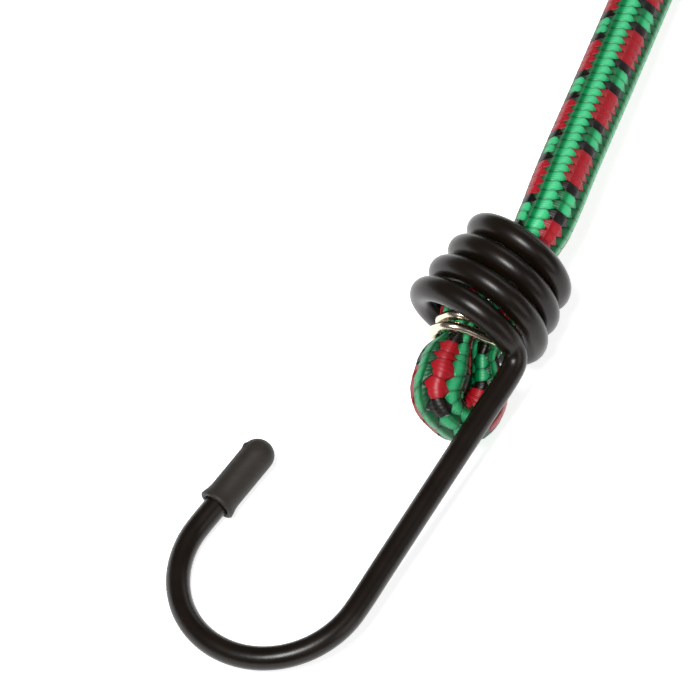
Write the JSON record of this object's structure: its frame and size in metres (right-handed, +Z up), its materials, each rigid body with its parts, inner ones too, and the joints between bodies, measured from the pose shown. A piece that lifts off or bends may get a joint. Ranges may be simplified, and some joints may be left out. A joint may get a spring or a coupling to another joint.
{
  "type": "bungee cord",
  "caption": "Bungee cord put away in a loop: braided elastic cord with a coiled, coated wire hook with a tip cap and a wire clip at each end.",
  "frame": {"origin": "centre of the whole part in X and Y, on the table it lies on", "axes": "+Z up from the table; hook A points along -Y on the +X side and hook B along -X on the +Y side; the looped cord lies between them"},
  "size_m": [0.1706, 0.1802, 0.0183],
  "materials": {
    "hook_coat": "satin black PVC dip coat over the hook wire",
    "spring_steel": "drawn spring wire, inside its coat",
    "tip_cap": "soft matte dark moulded cap",
    "clip_wire": "bare pale steel wire",
    "braid": "green braided yarn with red and black flecks",
    "rubber_strands": "natural latex strands, inside the braid"
  },
  "bodies": {
    "cord": {"loop_braid": "braid", "loop_rubber": "rubber_strands", "run_a_braid": "braid", "run_a_rubber": "rubber_strands", "run_b_braid": "braid", "run_b_rubber": "rubber_strands", "end_b_braid": "braid", "end_b_rubber": "rubber_strands", "clip_b": "clip_wire"},
    "end_a": {"end_a_braid": "braid", "end_a_rubber": "rubber_strands", "clip_a": "clip_wire"},
    "hook_a": {"hook_a_coat": "hook_coat", "hook_a_steel": "spring_steel", "hook_a_tip_cap": "tip_cap"},
    "hook_b": {"hook_b_coat": "hook_coat", "hook_b_steel": "spring_steel", "hook_b_tip_cap": "tip_cap"}
  },
  "joints": [
    {"name": "cord_stretch", "type": "slide", "parent": "cord", "child": "end_a", "axis": [0.1861, -0.9755, 0.1171], "range_m": [0, 0.055], "stiffness_N_per_m": 2000, "deforming": ["run_a_braid", "run_a_rubber"]},
    {"name": "hook_a_swivel", "type": "hinge", "parent": "end_a", "child": "hook_a", "pos_m": [0.07598, -0.03446, 0.00898], "axis": [0, -0.9943, -0.1063], "range_deg": [-6, 250]},
    {"name": "hook_b_swivel", "type": "hinge", "parent": "cord", "child": "hook_b", "pos_m": [-0.02968, 0.07115, 0.00898], "axis": [-0.9943, 0, -0.1063], "range_deg": [-6, 250]}
  ]
}
